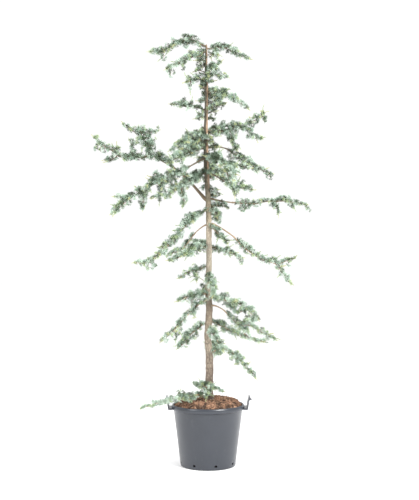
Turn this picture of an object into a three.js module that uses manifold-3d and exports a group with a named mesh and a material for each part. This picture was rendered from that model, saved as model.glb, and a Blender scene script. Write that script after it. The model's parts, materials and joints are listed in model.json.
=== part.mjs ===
// A young blue cedar of about 2.4 m in a round nursery pot with two lifting handles.
// Millimetres, +Z up. The origin is the centre of the pot's flat underside, +X is the tree's right
// and +Y its back. Every bough and every mass of foliage is lofted from one row of named sizes.
import * as THREE from "three";
import { mergeVertices } from "three/addons/utils/BufferGeometryUtils.js";
import Module from "manifold-3d";

const wasm = await Module();
wasm.setup();

// ---------------------------------------------------------------- driving sizes

// The pot: radii at its base, under its rim and over its rim, and how deep the rim is.
const POT = {
  height: 340,
  base: 153,
  neck: 191,
  rim: 202,
  rimHeight: 30,
  lip: 4,
  wall: 3,
  floor: 4,
  foot: 8,
};
// A ring of oval drain holes low in the wall.
const DRAIN = { count: 8, firstTurn: 16, height: 23, wide: 17, tall: 13, sides: 6 };
// The lifting handles: an upright plate that leans out, its finger slot, and a ridge along its top.
const HANDLE = { low: 314, high: 387, width: 112, thick: 5, inner: 214, lean: 13, shelf: 9, round: 22 };
const SLOT = { low: 331, high: 361, width: 84 };
const RIDGE = { height: 367, out: 13, thick: 5 };
// The compost: its heights at the wall and round the trunk, and the radius of the flat top. Its edge
// is rounded down by `shoulder` and drawn in by `dip`.
const COMPOST = { edge: 322, top: 371, flat: 34, shoulder: 12, dip: 6, heapSteps: 4, heapPower: 3.2 };
// The gap between neighbours, and the largest shared volume that doesn't count as an overlap.
const GAP = 0.6;
const LARGEST_SLIVER = 1e-6;

// How finely each kind of solid is faceted. MASS_STEP is the distance between a mass's rings.
const POT_SIDES = 30;
const TRUNK_SIDES = 8;
const TRUNK_STEPS = 24;
const LIMB_SIDES = 6;
const LIMB_STEPS = 5;
const MASS_SIDES = 6;
const MASS_STEP = 100;

// A mass is lumpy by these shares of its size, ring by ring and corner by corner.
const LUMP = 0.16;
const ROUGH = 0.17;

const TRUNK_POINT = 8;

// The trunk's line: height, sideways and backward drift, and radius. It starts on the compost.
const TRUNK_LINE = [
  { z: COMPOST.top + GAP, x: 7, y: 0, r: 29 },
  { z: 385, x: 8, y: 0, r: 24.5 },
  { z: 425, x: 6, y: 0, r: 23 },
  { z: 540, x: 8, y: 2, r: 22 },
  { z: 620, x: 8, y: 3, r: 21.5 },
  { z: 680, x: 0, y: 1, r: 19.5 },
  { z: 745, x: -6, y: -3, r: 20 },
  { z: 810, x: 6, y: -3, r: 19.5 },
  { z: 870, x: 8, y: 0, r: 19.5 },
  { z: 960, x: -1, y: 3, r: 18 },
  { z: 1080, x: 5, y: 2, r: 17 },
  { z: 1200, x: 6, y: -2, r: 16.5 },
  { z: 1400, x: 4, y: -3, r: 15.5 },
  { z: 1500, x: 0, y: 0, r: 14 },
  { z: 1620, x: -9, y: 4, r: 13 },
  { z: 1740, x: -12, y: 3, r: 12 },
  { z: 1860, x: -13, y: 0, r: 9.5 },
  { z: 2000, x: -9, y: -3, r: 8 },
  { z: 2140, x: -9, y: 0, r: 6.5 },
  { z: 2240, x: -12, y: 2, r: 5.5 },
  { z: 2330, x: -9, y: 0, r: 3.5 },
];

// A bough leaves the trunk at `height` and points to `turn` degrees: 0 is +X and 90 is +Y. Its tip is
// `reach` out and `rise` up from there. `arch` lifts its middle; `sway` lifts its first half and drops
// its second. It is bare wood up to the share `bare`, and has foliage of half sizes `wide` and `deep`
// from there on. Where bare is 0 the foliage starts at the trunk. Each of its `arms` starts on it, at
// the share `from`, or on the earlier arm whose number `onArm` gives.
const BOUGHS = [
  { height: 405, turn: 222, reach: 485, rise: -38, arch: 15, wide: 46, deep: 23 },
  { height: 446, turn: 232, reach: 120, rise: -4, arch: 8, wide: 52, deep: 26,
    arms: [{ from: 0.3, turn: 322, reach: 125, rise: -26, arch: 6, wide: 26, deep: 18 }] },
  { height: 442, turn: 262, reach: 105, rise: -52, arch: 12, wide: 34, deep: 27 },
  { height: 414, turn: 112, reach: 240, rise: 12, arch: 12, wide: 44, deep: 24 },
  { height: 622, turn: 318, reach: 332, rise: -112, arch: 78, sway: 12, wide: 40, deep: 26 },
  { height: 640, turn: 78, reach: 330, rise: -60, arch: 40, wide: 48, deep: 24 },
  { height: 772, turn: 290, reach: 228, rise: -115, arch: 16, wide: 38, deep: 26 },
  { height: 800, turn: 155, reach: 194, rise: -158, arch: 24, wide: 46, deep: 28,
    arms: [{ from: 0.74, turn: 175, reach: 16, rise: -58, wide: 28, deep: 22 }] },
  { height: 806, turn: 42, reach: 280, rise: -116, arch: 10, wide: 46, deep: 25 },
  { height: 927, turn: 218, reach: 320, rise: -218, arch: 18, sway: 14, wide: 38, deep: 22 },
  { height: 890, turn: 332, reach: 336, rise: -188, arch: -8, sway: 30, bare: 0.28, wide: 38, deep: 24,
    arms: [{ from: 0.32, turn: 352, reach: 270, rise: -146, arch: 8, wide: 36, deep: 22 }] },
  { height: 927, turn: 330, reach: 312, rise: -108, arch: 54, sway: -6, wide: 62, deep: 36,
    arms: [
      { from: 0.25, turn: 345, reach: 165, rise: -48, arch: 6, wide: 40, deep: 28 },
      { from: 0.16, turn: 320, reach: 160, rise: -92, arch: 8, wide: 36, deep: 24 },
    ] },
  { height: 950, turn: 218, reach: 210, rise: -30, arch: 22, wide: 56, deep: 34 },
  { height: 985, turn: 88, reach: 360, rise: -70, arch: 26, wide: 54, deep: 26 },
  { height: 1074, turn: 277, reach: 190, rise: -125, arch: 18, wide: 36, deep: 26 },
  { height: 1108, turn: 160, reach: 182, rise: -70, arch: 22, wide: 44, deep: 25,
    arms: [{ from: 0.15, turn: 190, reach: 52, rise: -84, arch: 6, wide: 32, deep: 26 }] },
  { height: 1205, turn: 220, reach: 286, rise: -60, arch: 28, sway: 33, wide: 50, deep: 27 },
  { height: 1216, turn: 42, reach: 262, rise: -70, arch: 10, wide: 50, deep: 26 },
  { height: 1230, turn: 112, reach: 370, rise: -60, arch: 24, wide: 50, deep: 25 },
  { height: 1350, turn: 332, reach: 520, rise: -194, arch: -68, sway: 30, bare: 0.3, wide: 44, deep: 25,
    arms: [{ from: 0.76, turn: 318, reach: 120, rise: -112, arch: 6, wide: 24, deep: 17 }] },
  { height: 1340, turn: 305, reach: 182, rise: -110, arch: 6, wide: 38, deep: 24 },
  { height: 1344, turn: 150, reach: 292, rise: -172, arch: -26, sway: 20, bare: 0.3, wide: 44, deep: 24 },
  { height: 1424, turn: 216, reach: 482, rise: -292, arch: -24, sway: 38, wide: 44, deep: 24,
    arms: [
      { from: 0.6, turn: 198, reach: 78, rise: -6, arch: 14, wide: 30, deep: 24 },
      { from: 0.86, turn: 225, reach: 28, rise: -54, wide: 22, deep: 18 },
      { from: 0.08, turn: 195, reach: 62, rise: -95, wide: 28, deep: 22 },
    ] },
  { height: 1436, turn: 80, reach: 360, rise: -80, arch: 22, wide: 48, deep: 25 },
  { height: 1483, turn: 22, reach: 618, rise: -26, sway: -17, bare: 0.24, wide: 48, deep: 24,
    arms: [
      { from: 0.44, turn: 340, reach: 30, rise: -52, wide: 24, deep: 18 },
      { from: 0.66, turn: 5, reach: 22, rise: -84, wide: 22, deep: 16 },
    ] },
  { height: 1455, turn: 160, reach: 632, rise: 256, arch: 128, sway: 10, bare: 0.34, stout: 8.6, wide: 56, deep: 27,
    arms: [
      { from: 0.74, turn: 164, reach: 236, rise: 122, arch: -18, wide: 30, deep: 20 },
      { from: 0.4, turn: 173, reach: 250, rise: 234, arch: 20, wide: 48, deep: 40 },
      { onArm: 2, from: 0.5, turn: 12, reach: 86, rise: 48, arch: 20, wide: 30, deep: 22 },
      { from: 0.66, turn: 178, reach: 58, rise: 98, wide: 26, deep: 22 },
      { from: 0.36, turn: 180, reach: 28, rise: 86, wide: 36, deep: 28 },
    ] },
  { height: 1711, turn: 214, reach: 598, rise: -330, arch: 28, sway: -14, bare: 0.18, wide: 58, deep: 38,
    arms: [
      { from: 0.44, turn: 215, reach: 30, rise: -110, wide: 28, deep: 24 },
      { from: 0.62, turn: 205, reach: 30, rise: -130, wide: 28, deep: 24 },
      { from: 0.76, turn: 196, reach: 112, rise: -18, arch: 10, wide: 26, deep: 18 },
    ] },
  { height: 1656, turn: 222, reach: 300, rise: -182, arch: 2, wide: 50, deep: 36,
    arms: [{ from: 0.5, turn: 200, reach: 20, rise: -140, wide: 26, deep: 24 }] },
  { height: 1628, turn: 132, reach: 300, rise: -95, arch: 20, wide: 54, deep: 32 },
  { height: 1766, turn: 236, reach: 350, rise: -110, arch: 20, wide: 58, deep: 36,
    arms: [{ from: 0.12, turn: 202, reach: 124, rise: -66, arch: 8, wide: 44, deep: 30 }] },
  { height: 1840, turn: 205, reach: 216, rise: -100, arch: 28, wide: 50, deep: 34 },
  { height: 1733, turn: 300, reach: 320, rise: -140, arch: 24, wide: 62, deep: 40,
    arms: [
      { from: 0.62, turn: 340, reach: 60, rise: -180, wide: 28, deep: 24 },
      { from: 0.5, turn: 355, reach: 158, rise: -48, wide: 40, deep: 30 },
    ] },
  { height: 1640, turn: 322, reach: 318, rise: -120, arch: -22, bare: 0.3, wide: 44, deep: 28 },
  { height: 1660, turn: 72, reach: 400, rise: -60, arch: 26, wide: 56, deep: 27 },
  { height: 1761, turn: 28, reach: 424, rise: -122, arch: 28, sway: 18, bare: 0.3, wide: 46, deep: 30 },
  { height: 1836, turn: 106, reach: 360, rise: -30, arch: 24, wide: 54, deep: 27 },
  { height: 1855, turn: 24, reach: 362, rise: 126, arch: -26, wide: 52, deep: 30,
    arms: [
      { from: 0.48, turn: 2, reach: 158, rise: -70, arch: 16, wide: 38, deep: 28 },
      { from: 0.36, turn: 338, reach: 66, rise: -128, wide: 34, deep: 30 },
      { from: 0.72, turn: 12, reach: 96, rise: -10, wide: 34, deep: 24 },
      { from: 0.4, turn: 30, reach: 26, rise: 64, wide: 24, deep: 20 },
      { from: 0.62, turn: 345, reach: 40, rise: -112, wide: 28, deep: 22 },
    ] },
  { height: 1970, turn: 325, reach: 130, rise: 26, arch: 6, wide: 36, deep: 23 },
  { height: 1968, turn: 168, reach: 200, rise: 44, arch: 14, wide: 46, deep: 28,
    arms: [
      { from: 0.42, turn: 190, reach: 70, rise: -50, wide: 24, deep: 17 },
      { from: 0.16, turn: 190, reach: 36, rise: 62, wide: 28, deep: 24 },
    ] },
  { height: 2066, turn: 330, reach: 264, rise: -106, arch: 42, wide: 40, deep: 24,
    arms: [
      { from: 0.28, turn: 5, reach: 98, rise: -54, wide: 26, deep: 17 },
      { from: 0.1, turn: 25, reach: 42, rise: 58, wide: 28, deep: 24 },
    ] },
  { height: 2092, turn: 68, reach: 225, rise: -40, arch: 18, wide: 50, deep: 30 },
  { height: 2144, turn: 205, reach: 126, rise: -24, arch: 10, wide: 36, deep: 26 },
  { height: 2215, turn: 300, reach: 128, rise: -92, arch: 16, wide: 42, deep: 31,
    arms: [
      { from: 0.12, turn: 352, reach: 84, rise: 14, wide: 28, deep: 22 },
      { from: 0.6, turn: 345, reach: 86, rise: -34, wide: 26, deep: 18 },
    ] },
  { height: 2305, turn: 225, reach: 304, rise: -144, arch: 8, wide: 38, deep: 22,
    arms: [{ from: 0.06, turn: 255, reach: 70, rise: -66, wide: 28, deep: 24 }] },
  { height: 2318, turn: 165, reach: 332, rise: -6, arch: 50, sway: 24, wide: 50, deep: 26,
    arms: [{ from: 0.5, turn: 176, reach: 112, rise: -92, arch: 6, wide: 30, deep: 20 }] },
  { height: 2312, turn: 28, reach: 206, rise: 6, arch: 26, wide: 46, deep: 25,
    arms: [
      { from: 0.4, turn: 355, reach: 170, rise: -76, arch: -6, wide: 28, deep: 19 },
      { from: 0.1, turn: 315, reach: 64, rise: -52, wide: 30, deep: 24 },
    ] },
];

// ---------------------------------------------------------------- solids and meshes

// A closed geometry as a solid, which can be joined and cut.
function solidOf(geometry) {
  const plain = geometry.clone();
  plain.deleteAttribute("normal");
  plain.deleteAttribute("uv");
  const merged = mergeVertices(plain, 1e-3);
  return new wasm.Manifold(new wasm.Mesh({
    numProp: 3,
    vertProperties: new Float32Array(merged.attributes.position.array),
    triVerts: new Uint32Array(merged.index.array),
  }));
}

// A solid as a geometry again.
function geometryOf(solid) {
  const mesh = solid.getMesh();
  const geometry = new THREE.BufferGeometry();
  geometry.setAttribute("position", new THREE.BufferAttribute(new Float32Array(mesh.vertProperties), 3));
  geometry.setIndex(new THREE.BufferAttribute(new Uint32Array(mesh.triVerts), 1));
  return geometry;
}

// The largest body of a solid that a cut may have left in several.
function largestBody(solid) {
  return solid.decompose().reduce((best, body) => (body.volume() > best.volume() ? body : best));
}

// Even, repeatable values from -1 to 1, one stream for each seed.
function bumps(seed) {
  let state = seed * 7919 + 17;
  return () => {
    state = (state * 16807) % 2147483647;
    return (state / 2147483647) * 2 - 1;
  };
}

const group = new THREE.Group();

function addMesh(name, geometry, material) {
  const mesh = new THREE.Mesh(geometry, material);
  mesh.name = name;
  group.add(mesh);
}

// ---------------------------------------------------------------- materials

const barkBrown = new THREE.MeshStandardMaterial({ color: 0x8f7c6c, roughness: 0.9 });
const needleBlue = new THREE.MeshStandardMaterial({ color: 0x7d9887, roughness: 0.75 });
const potGrey = new THREE.MeshStandardMaterial({ color: 0x555b63, roughness: 0.45 });
const compostBrown = new THREE.MeshStandardMaterial({ color: 0x6d4b35, roughness: 1.0 });

// ---------------------------------------------------------------- pot

const UP = new THREE.Vector3(0, 0, 1);

// LatheGeometry turns about +Y, so every turned piece is stood up about +X.
function turned(profile, sides) {
  const outline = profile.map(([r, z]) => new THREE.Vector2(r, z));
  return new THREE.LatheGeometry(outline, sides).rotateX(Math.PI / 2);
}

function drainHoles() {
  const throughWall = POT.wall * 8;
  const holes = [];
  for (let i = 0; i < DRAIN.count; i++) {
    const hole = new THREE.CylinderGeometry(DRAIN.wide / 2, DRAIN.wide / 2, throughWall, DRAIN.sides);
    hole.scale(1, 1, DRAIN.tall / DRAIN.wide).rotateZ(Math.PI / 2);
    hole.translate(POT.base, 0, DRAIN.height);
    hole.rotateZ(THREE.MathUtils.degToRad(DRAIN.firstTurn + (i * 360) / DRAIN.count));
    holes.push(solidOf(hole));
  }
  return holes;
}

// The inside radius of the sloping wall at a height.
function insideRadius(height) {
  return THREE.MathUtils.mapLinear(height, 0, POT.height, POT.base, POT.neck) - POT.wall;
}

function potSolid() {
  const underRim = POT.height - POT.rimHeight;
  const outside = [
    [0, 0], [POT.base - POT.foot, 0], [POT.base, POT.foot],
    [POT.neck, underRim], [POT.rim, underRim + POT.lip], [POT.rim, POT.height - POT.lip],
    [POT.rim - POT.lip, POT.height],
  ];
  const inside = [
    [insideRadius(POT.height), POT.height], [insideRadius(POT.floor + POT.foot), POT.floor + POT.foot],
    [insideRadius(POT.floor) - POT.foot, POT.floor], [0, POT.floor],
  ];
  let pot = solidOf(turned([...outside, ...inside], POT_SIDES));
  for (const hole of drainHoles()) pot = pot.subtract(hole);
  return pot;
}

// One lifting handle on the +X side: an upright plate with a finger slot, a ridge to grip under, and a
// shelf that ties it to the rim.
function handleSolid() {
  const half = HANDLE.width / 2;
  const plate = new THREE.Shape();
  plate.moveTo(-half, HANDLE.low);
  plate.lineTo(half, HANDLE.low);
  plate.lineTo(half, HANDLE.high - HANDLE.round);
  plate.absarc(half - HANDLE.round, HANDLE.high - HANDLE.round, HANDLE.round, 0, Math.PI / 2);
  plate.absarc(HANDLE.round - half, HANDLE.high - HANDLE.round, HANDLE.round, Math.PI / 2, Math.PI);
  plate.closePath();
  const slotHalf = SLOT.width / 2;
  const slot = new THREE.Path();
  slot.moveTo(-slotHalf, SLOT.low);
  slot.lineTo(-slotHalf, SLOT.high);
  slot.lineTo(slotHalf, SLOT.high);
  slot.lineTo(slotHalf, SLOT.low);
  slot.closePath();
  plate.holes.push(slot);
  // The shape's x runs along +Y, its y along +Z and its thickness along +X.
  const toSide = new THREE.Matrix4().makeBasis(
    new THREE.Vector3(0, 1, 0), new THREE.Vector3(0, 0, 1), new THREE.Vector3(1, 0, 0));
  const flat = { depth: HANDLE.thick, bevelEnabled: false, curveSegments: 4 };
  const upright = new THREE.ExtrudeGeometry(plate, flat);
  upright.applyMatrix4(toSide).translate(HANDLE.inner, 0, 0);
  const leanShare = HANDLE.lean / (HANDLE.high - HANDLE.low);
  const lean = new THREE.Matrix4().makeShear(0, 0, 0, 0, leanShare, 0);
  upright.applyMatrix4(lean).translate(-leanShare * HANDLE.low, 0, 0);
  const ridgeAcross = RIDGE.out + HANDLE.thick / 2;
  const ridgeInner = HANDLE.inner + HANDLE.thick / 2 + leanShare * (RIDGE.height - HANDLE.low);
  const ridge = new THREE.BoxGeometry(ridgeAcross, HANDLE.width - 2 * HANDLE.round, RIDGE.thick);
  ridge.translate(ridgeInner + ridgeAcross / 2, 0, RIDGE.height);
  const shelfOuter = HANDLE.inner + HANDLE.thick / 2;
  const shelf = new THREE.BoxGeometry(shelfOuter - POT.neck, HANDLE.width, HANDLE.shelf);
  shelf.translate((shelfOuter + POT.neck) / 2, 0, HANDLE.low + HANDLE.shelf / 2);
  const rimClearance = new THREE.CylinderGeometry(POT.rim + GAP, POT.rim + GAP, POT.height, POT_SIDES * 2);
  rimClearance.rotateX(Math.PI / 2).translate(0, 0, POT.height);
  return solidOf(upright).add(solidOf(ridge)).add(solidOf(shelf)).subtract(solidOf(rimClearance));
}

const pot = potSolid();
const handleRight = handleSolid();
addMesh("pot", geometryOf(pot), potGrey);
addMesh("pot_handle_right", geometryOf(handleRight), potGrey);
addMesh("pot_handle_left", geometryOf(handleRight.rotate([0, 0, 180])), potGrey);

// ---------------------------------------------------------------- compost

// The compost fills the pot, a hair clear of its wall, and is heaped up round the trunk.
function compostSolid() {
  const shoulder = COMPOST.edge - COMPOST.shoulder;
  const edge = insideRadius(COMPOST.edge) - COMPOST.dip;
  const profile = [
    [0, POT.floor + GAP], [insideRadius(POT.floor) - POT.foot - GAP, POT.floor + GAP],
    [insideRadius(POT.floor + POT.foot) - GAP, POT.floor + POT.foot + GAP],
    [insideRadius(shoulder) - GAP, shoulder], [edge, COMPOST.edge],
  ];
  for (let i = 1; i <= COMPOST.heapSteps; i++) {
    const share = 1 - i / COMPOST.heapSteps;
    const drop = (COMPOST.top - COMPOST.edge) * share ** COMPOST.heapPower;
    profile.push([THREE.MathUtils.lerp(COMPOST.flat, edge, share), COMPOST.top - drop]);
  }
  profile.push([0, COMPOST.top]);
  return solidOf(turned(profile, POT_SIDES));
}

addMesh("compost", geometryOf(compostSolid()), compostBrown);

// ---------------------------------------------------------------- lofted wood and foliage

// Skins a closed body over rings. Each ring has a centre, the two half-axes and one scale per corner.
function skin(rings, tip) {
  const sides = rings[0].scales.length;
  const positions = [];
  for (const ring of rings) {
    for (let i = 0; i < sides; i++) {
      const a = (2 * Math.PI * i) / sides;
      const corner = ring.centre.clone()
        .addScaledVector(ring.side, Math.cos(a) * ring.wide * ring.scales[i])
        .addScaledVector(ring.up, Math.sin(a) * ring.deep * ring.scales[i]);
      positions.push(...corner.toArray());
    }
  }
  positions.push(...rings[0].centre.toArray(), ...tip.toArray());
  const faces = [];
  const foot = rings.length * sides;
  for (let i = 0; i < sides; i++) {
    const next = (i + 1) % sides;
    faces.push(foot, next, i);
    for (let k = 0; k + 1 < rings.length; k++) {
      const low = k * sides;
      const high = low + sides;
      faces.push(low + i, low + next, high + next, low + i, high + next, high + i);
    }
    faces.push(foot + 1, foot - sides + i, foot - sides + next);
  }
  const geometry = new THREE.BufferGeometry();
  geometry.setAttribute("position", new THREE.Float32BufferAttribute(positions, 3));
  geometry.setIndex(faces);
  return solidOf(geometry);
}

// The trunk's centre and radius at a height, by the straight share between the two nearest stations.
function trunkAt(height) {
  const next = TRUNK_LINE.findIndex((p, i) => i > 0 && p.z >= height);
  const high = TRUNK_LINE[next < 0 ? TRUNK_LINE.length - 1 : next];
  const low = TRUNK_LINE[TRUNK_LINE.indexOf(high) - 1];
  const share = THREE.MathUtils.clamp((height - low.z) / (high.z - low.z), 0, 1);
  const mix = (key) => THREE.MathUtils.lerp(low[key], high[key], share);
  return { centre: new THREE.Vector3(mix("x"), mix("y"), height), r: mix("r") };
}

function trunkSolid(grow) {
  const rings = [];
  for (let k = 0; k <= TRUNK_STEPS; k++) {
    // The rings crowd towards the root flare.
    const height = THREE.MathUtils.lerp(TRUNK_LINE[0].z, TRUNK_LINE.at(-1).z, (k / TRUNK_STEPS) ** 1.4);
    const { centre, r } = trunkAt(height);
    if (k === 0) centre.z -= grow;
    rings.push({
      centre, wide: r + grow, deep: r + grow, scales: Array(TRUNK_SIDES).fill(1),
      side: new THREE.Vector3(1, 0, 0), up: new THREE.Vector3(0, 1, 0),
    });
  }
  const top = rings.at(-1).centre.clone().add(new THREE.Vector3(0, 0, TRUNK_POINT + grow));
  return skin(rings, top);
}

// The line that a bough or an arm follows from its start point.
function lineOf(start, row) {
  const { turn, reach, rise, arch = 0, sway = 0 } = row;
  const angle = THREE.MathUtils.degToRad(turn);
  const out = new THREE.Vector3(Math.cos(angle), Math.sin(angle), 0);
  return (t) => {
    const lift = rise * t + arch * Math.sin(Math.PI * t) + sway * Math.sin(2 * Math.PI * t);
    return start.clone().addScaledVector(out, reach * t).addScaledVector(UP, lift);
  };
}

function lengthOf(line, from, to) {
  const steps = 12;
  let length = 0;
  for (let k = 0; k < steps; k++) {
    const a = line(from + ((to - from) * k) / steps);
    length += a.distanceTo(line(from + ((to - from) * (k + 1)) / steps));
  }
  return length;
}

// Rings along a line, with the side axis kept level, so that a spray of foliage lies flat.
function ringsAlong(line, from, to, count, sizeAt, sides, uneven) {
  const rings = [];
  for (let k = 0; k <= count; k++) {
    const share = k / count;
    const t = from + (to - from) * share;
    const tangent = tangentAt(line, t);
    const side = new THREE.Vector3().crossVectors(UP, tangent).normalize();
    const up = new THREE.Vector3().crossVectors(tangent, side);
    const scales = Array.from({ length: sides }, () => 1 + uneven());
    rings.push({ centre: line(t), side, up, scales, ...sizeAt(share) });
  }
  return rings;
}

// The direction of a line at a share of its way.
function tangentAt(line, t) {
  return line(t + 0.01).sub(line(t - 0.01)).normalize();
}

// Bare wood from the trunk to the share where the foliage starts. A longer bough is thicker, with a
// swollen collar at the trunk, and thins by a third along its bare length.
const LIMB_BASE = 3;
const LIMB_GROWTH = 0.0042;
function limbSolid(line, row, grow) {
  const thick = row.stout ?? LIMB_BASE + row.reach * LIMB_GROWTH;
  const sizeAt = (share) => {
    const r = thick * (1 + 0.35 * (1 - share) ** 4) * (1 - 0.3 * share) + grow;
    return { wide: r, deep: r };
  };
  const rings = ringsAlong(line, 0, row.bare, LIMB_STEPS, sizeAt, LIMB_SIDES, () => 0);
  const point = rings.at(-1).centre.clone().addScaledVector(tangentAt(line, row.bare), 1 + grow);
  return skin(rings, point);
}

// A mass of foliage: it swells from its start, is widest before the middle and thins to its tip.
function massSolid(line, row, from, seed, grow) {
  const uneven = bumps(seed);
  const rough = () => ROUGH * uneven();
  const sizeAt = (share) => {
    const opening = Math.min(1, 0.5 + 1.9 * share);
    const closing = 1 - 0.72 * Math.max(0, (share - 0.3) / 0.7) ** 1.35;
    const swell = opening * closing;
    const lump = 1 + LUMP * uneven();
    return {
      wide: row.wide * swell * lump + grow,
      deep: row.deep * (0.35 + 0.65 * swell) * lump + grow,
    };
  };
  const lastRing = 0.95;
  const count = Math.max(2, Math.round(lengthOf(line, from, 1) / MASS_STEP));
  const rings = ringsAlong(line, from, from + (1 - from) * lastRing, count, sizeAt, MASS_SIDES, rough);
  rings[0].centre.addScaledVector(tangentAt(line, from), -grow);
  return skin(rings, line(1).addScaledVector(tangentAt(line, 1), grow));
}

// ---------------------------------------------------------------- the tree

// Every solid that is placed leaves room for itself in the ones that come after it.
const placed = [];

function place(name, build, material) {
  let solid = build(0);
  for (const other of placed) {
    if (solid.intersect(other).volume() < LARGEST_SLIVER) continue;
    solid = largestBody(solid.subtract(other)).simplify(GAP / 2);
  }
  placed.push(build(GAP));
  addMesh(name, geometryOf(solid), material);
}

place("trunk", trunkSolid, barkBrown);
placed.push(pot, handleRight, handleRight.rotate([0, 0, 180]));

const twoDigits = (n) => String(n).padStart(2, "0");
const lines = BOUGHS.map((row) => lineOf(trunkAt(row.height).centre, row));

BOUGHS.forEach((row, i) => {
  if (row.bare) place(`bough_${twoDigits(i + 1)}`, (grow) => limbSolid(lines[i], row, grow), barkBrown);
});

// A bough's mass with the arms that fork from it, as one solid.
function forkedMass(row, i, grow) {
  const gapToWood = row.bare ? (4 * GAP) / row.reach : 0;
  let whole = massSolid(lines[i], row, (row.bare ?? 0) + gapToWood, 10 * i + 11, grow);
  const armLines = [];
  (row.arms ?? []).forEach((arm, k) => {
    const parent = arm.onArm ? armLines[arm.onArm - 1] : lines[i];
    armLines.push(lineOf(parent(arm.from), arm));
    whole = whole.add(massSolid(armLines[k], arm, 0, 10 * i + 12 + k, grow));
  });
  return whole;
}

BOUGHS.forEach((row, i) => {
  place(`foliage_${twoDigits(i + 1)}`, (grow) => forkedMass(row, i, grow), needleBlue);
});

export default group;
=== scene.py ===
# %% [markdown]
# A young blue cedar in its nursery pot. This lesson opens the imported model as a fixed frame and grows
# the tree on it: a moulded pot, a mound of compost, a bark-covered trunk and boughs, then twigs and
# needles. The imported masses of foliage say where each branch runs. Nothing is placed by eye, so the
# tree keeps its size when the frame changes.

# %% Open the frame
import heapq
import itertools
import json
import math

import bpy
import numpy as np
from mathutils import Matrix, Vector
from mathutils.bvhtree import BVHTree

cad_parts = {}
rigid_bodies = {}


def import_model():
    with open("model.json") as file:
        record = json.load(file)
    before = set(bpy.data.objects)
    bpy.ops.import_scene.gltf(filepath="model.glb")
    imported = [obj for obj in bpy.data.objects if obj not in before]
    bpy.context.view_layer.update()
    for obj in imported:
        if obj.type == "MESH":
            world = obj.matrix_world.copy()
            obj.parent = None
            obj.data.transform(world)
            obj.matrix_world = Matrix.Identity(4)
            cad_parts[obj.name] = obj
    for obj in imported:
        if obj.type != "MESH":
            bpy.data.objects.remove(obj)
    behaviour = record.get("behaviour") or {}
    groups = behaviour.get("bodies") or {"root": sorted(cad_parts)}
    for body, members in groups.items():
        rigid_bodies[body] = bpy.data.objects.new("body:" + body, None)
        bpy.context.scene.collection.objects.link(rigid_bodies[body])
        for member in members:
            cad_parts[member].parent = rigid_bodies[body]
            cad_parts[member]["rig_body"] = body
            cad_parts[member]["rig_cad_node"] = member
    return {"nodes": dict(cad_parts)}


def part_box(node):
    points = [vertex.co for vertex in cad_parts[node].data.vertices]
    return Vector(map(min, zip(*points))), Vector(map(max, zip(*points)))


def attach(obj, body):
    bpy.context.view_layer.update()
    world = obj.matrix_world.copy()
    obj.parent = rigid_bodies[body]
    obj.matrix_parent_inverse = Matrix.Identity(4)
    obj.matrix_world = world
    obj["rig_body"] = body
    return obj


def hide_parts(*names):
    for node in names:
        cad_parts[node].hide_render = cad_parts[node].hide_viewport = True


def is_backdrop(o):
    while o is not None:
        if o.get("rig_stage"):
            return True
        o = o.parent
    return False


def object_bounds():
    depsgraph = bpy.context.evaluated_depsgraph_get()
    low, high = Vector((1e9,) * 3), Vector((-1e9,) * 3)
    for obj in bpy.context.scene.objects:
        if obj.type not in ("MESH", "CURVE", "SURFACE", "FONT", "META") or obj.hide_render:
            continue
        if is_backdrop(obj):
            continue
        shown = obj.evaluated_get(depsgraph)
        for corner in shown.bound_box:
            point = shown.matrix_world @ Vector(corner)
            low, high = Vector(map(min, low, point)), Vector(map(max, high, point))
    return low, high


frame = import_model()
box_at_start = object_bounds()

low, high = box_at_start
print("the frame is", [round(high[i] - low[i], 3) for i in range(3)], "metres")

# %% [markdown]
# The camera stands level, a long way off, so that the tree is seen with little perspective, as a
# plant is in a nursery's studio. It could stand nearer with a wider lens, but then the pot would be
# seen from above and the top of the tree from below.

# %% Camera
CAMERA_PLACE = (0.008, -5.5, 1.194)
CAMERA_LENS = 71.3
CAMERA_FAR = 60

bpy.ops.object.camera_add(location=CAMERA_PLACE, rotation=(math.radians(90), 0, 0))
camera = bpy.context.object
camera.data.lens = CAMERA_LENS
camera.data.clip_end = CAMERA_FAR
bpy.context.scene.camera = camera
print("camera", CAMERA_PLACE)

# %% [markdown]
# The studio is a white floor under a white sky with two large soft lamps. A sky alone would light
# every side the same and leave the tree flat. The lamp on the right is the stronger one, so each
# shoot has a bright and a dull side, and the light stays soft enough that the floor hardly shows a
# shadow.

# %% Floor, sky and lamps
FLOOR_SIDE = 60.0
FLOOR_GAP = 0.0005
SKY_LIGHT = 1.06


def let_go():
    """Leaves edit mode and deselects everything."""
    active = bpy.context.view_layer.objects.active
    if active is not None and active.mode != "OBJECT":
        bpy.ops.object.mode_set(mode="OBJECT")
    bpy.ops.object.select_all(action="DESELECT")


def lamp(name, place, turn, side, watts):
    """A square soft lamp, turned in degrees."""
    let_go()
    turned = [math.radians(angle) for angle in turn]
    bpy.ops.object.light_add(type="AREA", location=place, rotation=turned)
    made = bpy.context.object
    made.name = name
    made.data.size = side
    made.data.energy = watts


let_go()
bpy.ops.mesh.primitive_plane_add(size=FLOOR_SIDE, location=(0, 0, low.z - FLOOR_GAP))
floor = bpy.context.object
floor.name = "studio_floor"
floor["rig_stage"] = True

lamp("lamp_right", (3.2, -3.4, 3.6), (52, 0, 43), side=2.2, watts=420)
lamp("lamp_left", (-3.6, -2.2, 2.6), (62, 0, -58), side=2.4, watts=130)

world = bpy.data.worlds.new("white_sky")
bpy.context.scene.world = world
world.use_nodes = True
sky = world.node_tree.nodes["Background"]
sky.inputs["Color"].default_value = (1, 1, 1, 1)
sky.inputs["Strength"].default_value = SKY_LIGHT
bpy.context.scene.view_settings.view_transform = "Standard"

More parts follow.
